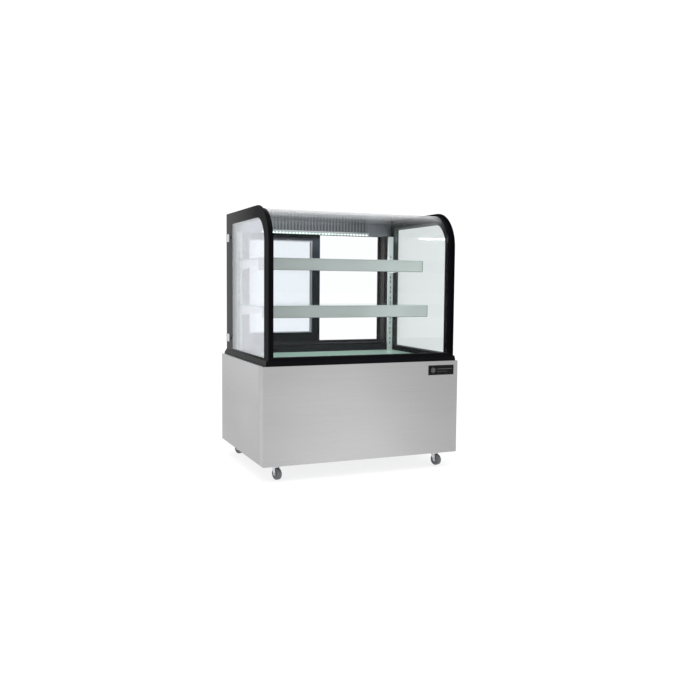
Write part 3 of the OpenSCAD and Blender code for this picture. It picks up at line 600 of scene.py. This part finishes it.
def rounded_box(bm, low, high, edge):
    """Adds a box with rounded edges between two corners."""
    low, high = Vector(low), Vector(high)
    made = bmesh.ops.create_cube(bm, size=1.0)["verts"]
    size = high - low
    for v in made:
        v.co = Vector([(low[i] + high[i]) / 2 + v.co[i] * size[i] for i in range(3)])
    if edge:
        edges = list({e for v in made for e in v.link_edges})
        bmesh.ops.bevel(bm, geom=edges, offset=edge, segments=2, profile=0.5, affect="EDGES")


def turned_shape(bm, profile, centre, axis, steps=48):
    """Adds a shape turned about an axis from (radius, height) points."""
    frame_turn = Vector((0, 0, 1)).rotation_difference(Vector(axis)).to_matrix()
    rings = []
    for radius, height in profile:
        if radius < 1e-7:
            rings.append([bm.verts.new(frame_turn @ Vector((0, 0, height)) + Vector(centre))])
            continue
        ring = []
        for i in range(steps):
            a = 2 * math.pi * i / steps
            point = Vector((radius * math.cos(a), radius * math.sin(a), height))
            ring.append(bm.verts.new(frame_turn @ point + Vector(centre)))
        rings.append(ring)
    closed = len(rings[0]) > 1 and len(rings[-1]) > 1
    pairs = list(zip(rings, rings[1:])) + ([(rings[-1], rings[0])] if closed else [])
    for a, b in pairs:
        for i in range(steps):
            j = (i + 1) % steps
            corners = [a[i % len(a)], a[j % len(a)], b[j % len(b)], b[i % len(b)]]
            face = list(dict.fromkeys(corners))
            if len(face) > 2:
                bm.faces.new(face)


def tube(bm, points, radius, sides=8, closed=False):
    """Adds a round tube along points."""
    count = len(points)
    rings = []
    side = None
    for i, p in enumerate(points):
        before = points[i - 1] if i or closed else p
        after = points[(i + 1) % count] if i < count - 1 or closed else p
        along = (Vector(after) - Vector(before)).normalized()
        if side is None:
            side = along.orthogonal().normalized()
        side = (side - along * side.dot(along)).normalized()
        other = along.cross(side)
        ring = []
        for k in range(sides):
            a = 2 * math.pi * k / sides
            offset = side * (radius * math.cos(a)) + other * (radius * math.sin(a))
            ring.append(bm.verts.new(Vector(p) + offset))
        rings.append(ring)
    spans = list(zip(rings, rings[1:])) + ([(rings[-1], rings[0])] if closed else [])
    for a, b in spans:
        for k in range(sides):
            j = (k + 1) % sides
            bm.faces.new([a[k], a[j], b[j], b[k]])
    if not closed:
        bm.faces.new(rings[0])
        bm.faces.new(rings[-1])


SHAPES = {
    "box": "GeometryNodeMeshCube",
    "cylinder": "GeometryNodeMeshCylinder",
    "cone": "GeometryNodeMeshCone",
    "ball": "GeometryNodeMeshUVSphere",
}
SOCKETS = {int: "NodeSocketInt", float: "NodeSocketFloat", tuple: "NodeSocketVector"}


def repeat(name, spots, parts, finish, body):
    """Copies a small joined shape onto every spot. A part is (label, kind, sizes, shift, turn)."""
    tree = bpy.data.node_groups.new(name + "_copies", "GeometryNodeTree")
    tree.interface.new_socket("Spots", in_out="INPUT", socket_type="NodeSocketGeometry")
    tree.interface.new_socket("Copies", in_out="OUTPUT", socket_type="NodeSocketGeometry")
    start = tree.nodes.new("NodeGroupInput")
    end = tree.nodes.new("NodeGroupOutput")
    join = tree.nodes.new("GeometryNodeJoinGeometry")
    values = {}
    for label, kind, sizes, shift, turn in parts:
        shape = tree.nodes.new(SHAPES[kind])
        for socket, value in sizes.items():
            entry = tree.interface.new_socket(
                f"{label} {socket}", in_out="INPUT", socket_type=SOCKETS[type(value)]
            )
            values[entry.identifier] = value
            tree.links.new(start.outputs[f"{label} {socket}"], shape.inputs[socket])
        move = tree.nodes.new("GeometryNodeTransform")
        move.inputs["Translation"].default_value = shift
        move.inputs["Rotation"].default_value = Euler([math.radians(a) for a in turn])
        tree.links.new(shape.outputs["Mesh"], move.inputs["Geometry"])
        tree.links.new(move.outputs["Geometry"], join.inputs["Geometry"])
    copies = tree.nodes.new("GeometryNodeInstanceOnPoints")
    real = tree.nodes.new("GeometryNodeRealizeInstances")
    paint = tree.nodes.new("GeometryNodeSetMaterial")
    paint.inputs["Material"].default_value = finish
    tree.links.new(start.outputs["Spots"], copies.inputs["Points"])
    tree.links.new(join.outputs["Geometry"], copies.inputs["Instance"])
    tree.links.new(copies.outputs["Instances"], real.inputs["Geometry"])
    tree.links.new(real.outputs["Geometry"], paint.inputs["Geometry"])
    tree.links.new(paint.outputs["Geometry"], end.inputs["Copies"])
    holder = bpy.data.meshes.new(name + "_spots")
    holder.from_pydata([tuple(s) for s in spots], [], [])
    piece = bpy.data.objects.new(name, holder)
    scene.collection.objects.link(piece)
    modifier = piece.modifiers.new("Copies", "NODES")
    modifier.node_group = tree
    for identifier, value in values.items():
        modifier[identifier] = value
    ready = piece.evaluated_get(bpy.context.evaluated_depsgraph_get())
    mesh = bpy.data.meshes.new_from_object(ready)
    piece.modifiers.remove(modifier)
    piece.data = mesh
    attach(piece, body)
    return piece


def window_path(x, low, high, radius, steps=16):
    """Closed path round a side window, with a rounded front top corner."""
    centre = (low.y + radius, high.z - radius)
    arc = []
    for i in range(steps + 1):
        a = math.pi - (math.pi / 2) * i / steps
        arc.append((x, centre[0] + radius * math.cos(a), centre[1] + radius * math.sin(a)))
    return [(x, high.y, low.z), (x, low.y, low.z), *arc, (x, high.y, high.z)]


# ---------- glass case ----------

# black seals between each side pane and its frame
for side in ("left", "right"):
    low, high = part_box("side_glass_" + side)
    sign = -1 if side == "left" else 1
    bm = bmesh.new()
    inset = 9.4 * MM
    outer_low = Vector((0, low.y + inset, low.z + 4.9 * MM))
    outer_high = Vector((0, high.y - inset, high.z - inset))
    face = (low.x if side == "left" else high.x) - sign * 0.6 * MM
    tube(bm, window_path(face, outer_low, outer_high, 100 * MM), 0.7 * MM, 6, closed=True)
    add_piece("side_seal_" + side, bm, seal_rubber, "case")

# gasket in the groove of the front moulding, outside and inside the curved glass
glass_low, glass_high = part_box("front_glass")
moulding_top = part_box("case_moulding")[1].z
bm = bmesh.new()
for y in (glass_low.y - 0.4 * MM, glass_low.y + 6.4 * MM):
    rounded_box(
        bm,
        (glass_low.x + 1 * MM, y - 0.7 * MM, moulding_top - 1 * MM),
        (glass_high.x - 1 * MM, y + 0.7 * MM, moulding_top + 1.6 * MM),
        0.4 * MM,
    )
add_piece("front_gasket", bm, seal_rubber, "case")

# dark strip along the lower edge of each shelf rail and at either end, standing in for the shadow
# lines there: painted shade
for shelf in ("upper", "lower"):
    low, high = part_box("shelf_fascia_" + shelf)
    bm = bmesh.new()
    rounded_box(
        bm,
        (low.x, low.y - 0.3 * MM, low.z - 0.2 * MM), (high.x, low.y + 1.2 * MM, low.z + 1.6 * MM),
        0.4 * MM,
    )
    for x in (low.x, high.x - 1.4 * MM):
        rounded_box(
            bm,
            (x, low.y - 0.3 * MM, low.z), (x + 1.4 * MM, low.y + 6 * MM, high.z - 1 * MM),
            0.4 * MM,
        )
    add_piece(f"shelf_rail_shade_strip_{shelf}", bm, rail_shade_strip, "case")

# lamp: lens over every chip, and end caps
lamp_low, lamp_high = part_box("led_channel")
chip_low, chip_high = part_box("led_chips")
CHIPS = 33
chip_pitch = (chip_high.x - chip_low.x - 8 * MM) / (CHIPS - 1)
chip_spots = [
    (
        chip_low.x + 4 * MM + i * chip_pitch,
        (chip_low.y + chip_high.y) / 2 - 0.45 * MM,
        (chip_low.z + chip_high.z) / 2 - 0.4 * MM,
    )
    for i in range(CHIPS)
]
repeat(
    "chip_lenses", chip_spots,
    [("Lens", "ball", {"Segments": 14, "Rings": 8, "Radius": 2.6 * MM}, (0, 0, 0), (0, 0, 0))],
    lit_chip, "case",
)
bm = bmesh.new()
for x in (lamp_low.x - 3 * MM, lamp_high.x):
    rounded_box(
        bm,
        (x, lamp_low.y - 0.5 * MM, lamp_low.z - 0.5 * MM),
        (x + 3 * MM, lamp_high.y - 0.2 * MM, lamp_high.z + 0.5 * MM),
        0.6 * MM,
    )
add_piece("lamp_end_caps", bm, grey_plastic, "case")

# screws of the glass clamps, with a hexagon socket ring
screw_low, screw_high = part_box("clamp_screws")
bm = bmesh.new()
for sign in (-1, 1):
    for z in (screw_low.z + 7 * MM, screw_high.z - 7 * MM):
        y = (screw_low.y + screw_high.y) / 2
        face = sign * (screw_high.x - 4 * MM)
        turned_shape(
            bm,
            [(0, 2.4 * MM), (3 * MM, 2.4 * MM), (3 * MM, 4 * MM), (5.2 * MM, 4 * MM),
             (6.6 * MM, 2.8 * MM), (7 * MM, 0.6 * MM), (8.4 * MM, 0.5 * MM), (8.4 * MM, 0),
             (0, 0)],
            (face, y, z), (sign, 0, 0), 36,
        )
socket_screws = add_piece("clamp_socket_screws", bm, black_plastic, "case")
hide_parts("clamp_screws")

# nylon pads between the shelf glass and its brackets
bracket_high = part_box("shelf_brackets")[1]
pad_spots = []
for shelf in ("upper", "lower"):
    low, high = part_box("shelf_glass_" + shelf)
    for sign in (-1, 1):
        for share in (0.25, 0.8):
            y = low.y + (high.y - low.y) * share
            pad_spots.append((sign * (bracket_high.x - 1.5 * MM), y, low.z - 0.4 * MM))
repeat(
    "shelf_pads", pad_spots,
    [("Pad", "cylinder", {"Vertices": 20, "Radius": 4 * MM, "Depth": 0.8 * MM},
      (0, 0, 0), (0, 0, 0))],
    white_nylon, "case",
)

# a dark slanted slat behind each vent slot of the air grille, standing in for the shaded duct
# behind it: painted shade
grille_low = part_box("air_grille")[0]
SLOTS = 30
SLOT_ROW = 720 * MM
slot_pitch = SLOT_ROW / SLOTS
shade_slat_spots = [
    ((i - (SLOTS - 1) / 2) * slot_pitch, grille_low.y + 3 * MM, grille_low.z + 28 * MM)
    for i in range(SLOTS)
]
repeat(
    "vent_shade_slats", shade_slat_spots,
    [("Slat", "box", {"Size": (14 * MM, 0.6 * MM, 3.4 * MM)}, (0, 0, 0), (35, 0, 0))],
    track_plastic, "case",
)

# brush seals along the front and back edges of the lower track
TRACK_HALF = 366 * MM
BRUSH_Z = (536.9 * MM, 538.2 * MM)
track_low, track_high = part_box("door_tracks")
bm = bmesh.new()
for y in (track_low.y + 0.8 * MM, track_high.y - 0.8 * MM):
    rounded_box(
        bm,
        (-TRACK_HALF, y - 0.6 * MM, BRUSH_Z[0]), (TRACK_HALF, y + 0.6 * MM, BRUSH_Z[1]), 0.3 * MM,
    )
add_piece("track_brushes", bm, seal_rubber, "case")


# ---------- doors ----------

for door in ("inner", "outer"):
    body = "door_" + door
    low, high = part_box(body + "_frame")
    pane_low, pane_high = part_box(body + "_glass")
    bm = bmesh.new()
    for y in (low.y + 0.7 * MM, high.y - 0.7 * MM):
        path = [
            (pane_low.x + 1 * MM, y, pane_low.z + 1 * MM),
            (pane_high.x - 1 * MM, y, pane_low.z + 1 * MM),
            (pane_high.x - 1 * MM, y, pane_high.z - 1 * MM),
            (pane_low.x + 1 * MM, y, pane_high.z - 1 * MM),
        ]
        for a, b in zip(path, path[1:] + path[:1]):
            lo = [min(a[i], b[i]) - 1 * MM for i in range(3)]
            hi = [max(a[i], b[i]) + 1 * MM for i in range(3)]
            lo[1], hi[1] = y - 0.6 * MM, y + 0.6 * MM
            rounded_box(bm, lo, hi, 0.3 * MM)
    add_piece(f"door_{door}_gasket", bm, seal_rubber, body)
    # aluminium spacer between the two panes
    bm = bmesh.new()
    gap_low, gap_high = low.y + 6 * MM, low.y + 10 * MM
    width = 6 * MM
    for x0, x1, z0, z1 in (
        (pane_low.x, pane_low.x + width, pane_low.z, pane_high.z),
        (pane_high.x - width, pane_high.x, pane_low.z, pane_high.z),
        (pane_low.x + width, pane_high.x - width, pane_low.z, pane_low.z + width),
        (pane_low.x + width, pane_high.x - width, pane_high.z - width, pane_high.z),
    ):
        rounded_box(bm, (x0, gap_low, z0), (x1, gap_high, z1), 0)
    add_piece(f"door_{door}_spacer", bm, mill_aluminium, body)
    # corner screws of the frame
    corner_spots = [
        (x, high.y + 0.1 * MM, z)
        for x in (low.x + 19 * MM, high.x - 19 * MM)
        for z in (low.z + 30 * MM, high.z - 20 * MM)
    ]
    repeat(
        f"door_{door}_screws", corner_spots,
        [("Head", "cylinder", {"Vertices": 24, "Radius": 3.2 * MM, "Depth": 0.4 * MM},
          (0, 0, 0), (90, 0, 0)),
         ("Slot", "box", {"Size": (4.4 * MM, 0.2 * MM, 0.7 * MM)}, (0, 0.25 * MM, 0), (0, 0, 0)),
         ("Cross", "box", {"Size": (0.7 * MM, 0.2 * MM, 4.4 * MM)}, (0, 0.25 * MM, 0), (0, 0, 0))],
        black_plastic, body,
    )


# ---------- base ----------

# badge relief: a snow crystal, a thin border and two bars
badge_low, badge_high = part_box("badge")
badge_mid = (badge_low.z + badge_high.z) / 2
RELIEF = 0.25 * MM


def badge_bar(bm, x, z, length, width, turn):
    """Adds one thin raised bar on the badge, turned about the viewing axis."""
    made = bmesh.ops.create_cube(bm, size=1.0)["verts"]
    spin = Matrix.Rotation(turn, 3, "Y")
    for v in made:
        flat = Vector((v.co.x * length, v.co.y * RELIEF, v.co.z * width))
        v.co = spin @ flat + Vector((x, badge_low.y + RELIEF / 2 - 0.02 * MM, z))


bm = bmesh.new()
crystal_x = badge_low.x + 24 * MM
ARM = 12 * MM
for k in range(6):
    turn = math.radians(60 * k + 30)
    out = Vector((math.cos(turn), -math.sin(turn)))
    badge_bar(
        bm, crystal_x + out.x * ARM / 2, badge_mid + out.y * ARM / 2, ARM, 1.2 * MM, turn
    )
    for reach, size in ((0.5, 4.6 * MM), (0.78, 3.4 * MM)):
        for lean in (-1, 1):
            branch = turn + lean * math.radians(50)
            aim = Vector((math.cos(branch), -math.sin(branch)))
            badge_bar(
                bm,
                crystal_x + out.x * ARM * reach + aim.x * size / 2,
                badge_mid + out.y * ARM * reach + aim.y * size / 2,
                size, 0.9 * MM, branch,
            )
add_piece("badge_crystal", bm, pale_mark, "case")
bm = bmesh.new()
badge_bar(bm, badge_low.x + 81 * MM, badge_mid + 5 * MM, 74 * MM, 3.6 * MM, 0)
badge_bar(bm, badge_low.x + 70 * MM, badge_mid - 6 * MM, 52 * MM, 2.0 * MM, 0)
for z in (badge_low.z + 2.2 * MM, badge_high.z - 2.2 * MM):
    badge_bar(bm, (badge_low.x + badge_high.x) / 2, z, 123 * MM, 0.5 * MM, 0)
add_piece("badge_bars", bm, dim_mark, "case")

# louvre hoods over the rear slots
rear_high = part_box("rear_grille")[1]
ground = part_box("front_panel")[0].z
COLUMN_PITCH = 250 * MM
ROW_PITCH = 17 * MM
FIRST_ROW = 97.2 * MM
hood_spots = []
for column in (-1, 0, 1):
    for row in range(6 if column == -1 else 12):
        hood_spots.append(
            (column * COLUMN_PITCH, rear_high.y + 2.4 * MM, ground + FIRST_ROW + ROW_PITCH * row)
        )
repeat(
    "rear_louvres", hood_spots,
    [("Hood", "box", {"Size": (204 * MM, 1.0 * MM, 9.4 * MM)}, (0, 0, 0), (28, 0, 0)),
     ("Left end", "box", {"Size": (1.0 * MM, 5.2 * MM, 6.0 * MM)}, (-101.5 * MM, -1.4 * MM, 0),
      (0, 0, 0)),
     ("Right end", "box", {"Size": (1.0 * MM, 5.2 * MM, 6.0 * MM)}, (101.5 * MM, -1.4 * MM, 0),
      (0, 0, 0))],
    steel_rear, "case",
)

# cross-head screws of the rear panel
screw_low, screw_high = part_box("panel_screws")
half_x = screw_high.x - 5 * MM
spots = [
    (x, rear_high.y, z)
    for x in (-half_x, -124 * MM, 124 * MM, half_x)
    for z in (screw_low.z + 5 * MM, screw_high.z - 5 * MM)
]
cross_screws = repeat(
    "rear_cross_screws", spots,
    [("Head", "cone",
      {"Vertices": 28, "Radius Top": 3.4 * MM, "Radius Bottom": 5 * MM, "Depth": 2.4 * MM},
      (0, 0, 0), (-90, 0, 0)),
     ("Slot", "box", {"Size": (4.6 * MM, 0.25 * MM, 0.9 * MM)}, (0, 2.45 * MM, 0), (0, 0, 0)),
     ("Cross", "box", {"Size": (0.9 * MM, 0.25 * MM, 4.6 * MM)}, (0, 2.45 * MM, 0), (0, 0, 0))],
    bright_chrome, "case",
)
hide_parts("panel_screws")

# control panel: lit figures, key arrows and a bezel line
panel_low, panel_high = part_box("control_panel")
panel_x = (panel_low.x + panel_high.x) / 2
panel_z = (panel_low.z + panel_high.z) / 2
SEGMENTS = {"0": "abcdef", "4": "bcfg"}
bm = bmesh.new()
lit_y = panel_high.y - 0.7 * MM
for place, figure in ((-66, "0"), (-50, "4")):
    cx = panel_x + place * MM
    w, h, t = 4.4 * MM, 8.4 * MM, 1.5 * MM
    strokes = {
        "a": (0, h, 2 * w, t), "g": (0, 0, 2 * w, t), "d": (0, -h, 2 * w, t),
        "f": (w, h / 2, t, h), "b": (-w, h / 2, t, h),
        "e": (w, -h / 2, t, h), "c": (-w, -h / 2, t, h),
    }
    for key in SEGMENTS[figure]:
        dx, dz, sx, sz = strokes[key]
        rounded_box(
            bm,
            (cx + dx - sx / 2 + 0.2 * MM, lit_y - 0.2 * MM, panel_z + dz - sz / 2 + 0.2 * MM),
            (cx + dx + sx / 2 - 0.2 * MM, lit_y, panel_z + dz + sz / 2 - 0.2 * MM),
            0,
        )
add_piece("display_figures", bm, lit_digit, "case")
for key, sign in (("up_key", 1), ("down_key", -1)):
    low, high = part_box(key)
    cx, cz = (low.x + high.x) / 2, (low.z + high.z) / 2
    bm = bmesh.new()
    front = [
        bm.verts.new((cx + dx * MM, high.y + 0.15 * MM, cz + sign * dz * MM))
        for dx, dz in ((-2.4, -1.6), (2.4, -1.6), (0, 2.2))
    ]
    back = [bm.verts.new(v.co - Vector((0, 0.2 * MM, 0))) for v in front]
    bm.faces.new(front)
    bm.faces.new(back)
    for i in range(3):
        j = (i + 1) % 3
        bm.faces.new([front[i], front[j], back[j], back[i]])
    add_piece(key + "_arrow", bm, black_plastic, key)
bm = bmesh.new()
for x0, x1, z0, z1 in (
    (panel_low.x + 3 * MM, panel_high.x - 3 * MM, panel_high.z - 3.6 * MM, panel_high.z - 3 * MM),
    (panel_low.x + 3 * MM, panel_high.x - 3 * MM, panel_low.z + 3 * MM, panel_low.z + 3.6 * MM),
):
    rounded_box(bm, (x0, panel_high.y - 0.1 * MM, z0), (x1, panel_high.y + 0.1 * MM, z1), 0)
add_piece("panel_lines", bm, pale_mark, "case")

# cable gland: an inner bush
gland_low, gland_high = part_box("cable_gland")
gland_x, gland_z = (gland_low.x + gland_high.x) / 2, (gland_low.z + gland_high.z) / 2
bm = bmesh.new()
turned_shape(
    bm,
    [(5 * MM, 0), (6.8 * MM, 0), (6.8 * MM, -3 * MM), (5 * MM, -3 * MM)],
    (gland_x, gland_high.y - 0.1 * MM, gland_z), (0, 1, 0), 36,
)
add_piece("gland_bush", bm, seal_rubber, "case")

# wire guard of the condenser fan
fan_x, fan_z = 90 * MM, ground + 128 * MM
guard_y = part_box("condenser")[0].y + 39 * MM
bm = bmesh.new()
for radius in (44, 56, 68, 80, 92, 102):
    ring = [
        (fan_x + radius * MM * math.cos(a), guard_y + 14 * MM, fan_z + radius * MM * math.sin(a))
        for a in (2 * math.pi * i / 48 for i in range(48))
    ]
    tube(bm, ring, 0.9 * MM, 6, closed=True)
for k in range(4):
    a = math.radians(45 + 90 * k)
    tube(
        bm,
        [
            (fan_x + r * MM * math.cos(a), guard_y + 12.6 * MM, fan_z + r * MM * math.sin(a))
            for r in (36, 60, 84, 108)
        ],
        1.2 * MM, 6,
    )
add_piece("fan_guard", bm, chassis_zinc, "case")

# compressor: weld band and terminal cover
COMPRESSOR_X, COMPRESSOR_Y = -250 * MM, 120 * MM
bm = bmesh.new()
turned_shape(
    bm,
    [(78 * MM, -3 * MM), (81 * MM, -2 * MM), (81 * MM, 2 * MM), (78 * MM, 3 * MM)],
    (COMPRESSOR_X, COMPRESSOR_Y, ground + 110 * MM), (0, 0, 1), 64,
)
add_piece("compressor_band", bm, enamel, "case")
bm = bmesh.new()
rounded_box(
    bm,
    (COMPRESSOR_X - 26 * MM, COMPRESSOR_Y - 98 * MM, ground + 60 * MM),
    (COMPRESSOR_X + 26 * MM, COMPRESSOR_Y - 70 * MM, ground + 108 * MM),
    4 * MM,
)
add_piece("terminal_cover", bm, black_plastic, "case")


# ---------- casters ----------

WHEEL_EDGE = 9 * MM
FORK_OUTSIDE = 12.75 * MM
BALLS = 16
BALL_CIRCLE = 19.6 * MM
BALL_Z = 60.9 * MM
BOLT_PITCH = 24 * MM
for joint in frame["joints"]:
    if not joint["name"].startswith("roll_"):
        continue
    wheel, fork = joint["child"], joint["parent"]
    centre = Vector(joint["pos_m"])
    axis = Vector(joint["axis"]).normalized()
    bm = bmesh.new()
    for sign in (-1, 1):
        start = centre + axis * sign * (WHEEL_EDGE - 1.5 * MM)
        turned_shape(
            bm,
            [(4.3 * MM, 0), (4.3 * MM, 1.9 * MM), (8.4 * MM, 1.9 * MM), (9.2 * MM, 0.9 * MM),
             (16.4 * MM, 0.7 * MM), (16.8 * MM, 0)],
            start, axis * sign, 40,
        )
    add_piece(wheel + "_hub", bm, hub_plastic, wheel)
    # nut and bolt head outside the fork legs
    bm = bmesh.new()
    for sign in (-1, 1):
        start = centre + axis * sign * FORK_OUTSIDE
        turned_shape(
            bm,
            [(0, 3.4 * MM), (3.8 * MM, 3.4 * MM), (4.8 * MM, 2.6 * MM), (4.9 * MM, 0.6 * MM),
             (6.1 * MM, 0.6 * MM), (6.1 * MM, 0), (0, 0)],
            start, axis * sign, 6 if sign > 0 else 24,
        )
    add_piece(fork + "_bolt", bm, zinc, fork)

plate_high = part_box("caster_plates")[1]
ball_spots, bolt_spots = [], []
for joint in frame["joints"]:
    if not joint["name"].startswith("swivel_"):
        continue
    x, y = joint["pos_m"][:2]
    for i in range(BALLS):
        a = 2 * math.pi * i / BALLS
        ball_spots.append((x + BALL_CIRCLE * math.cos(a), y + BALL_CIRCLE * math.sin(a), BALL_Z))
    for sx in (-1, 1):
        for sy in (-1, 1):
            bolt_spots.append((x + sx * BOLT_PITCH, y + sy * BOLT_PITCH, plate_high.z - 2.5 * MM))
repeat(
    "swivel_balls", ball_spots,
    [("Ball", "ball", {"Segments": 10, "Rings": 6, "Radius": 1.6 * MM}, (0, 0, 0), (0, 0, 0))],
    bright_chrome, "case",
)
repeat(
    "plate_bolts", bolt_spots,
    [("Head", "cylinder", {"Vertices": 6, "Radius": 5 * MM, "Depth": 3.4 * MM},
      (0, 0, -1.7 * MM), (0, 0, 0)),
     ("Washer", "cylinder", {"Vertices": 24, "Radius": 6.4 * MM, "Depth": 0.8 * MM},
      (0, 0, -0.4 * MM), (0, 0, 0))],
    zinc, "case",
)
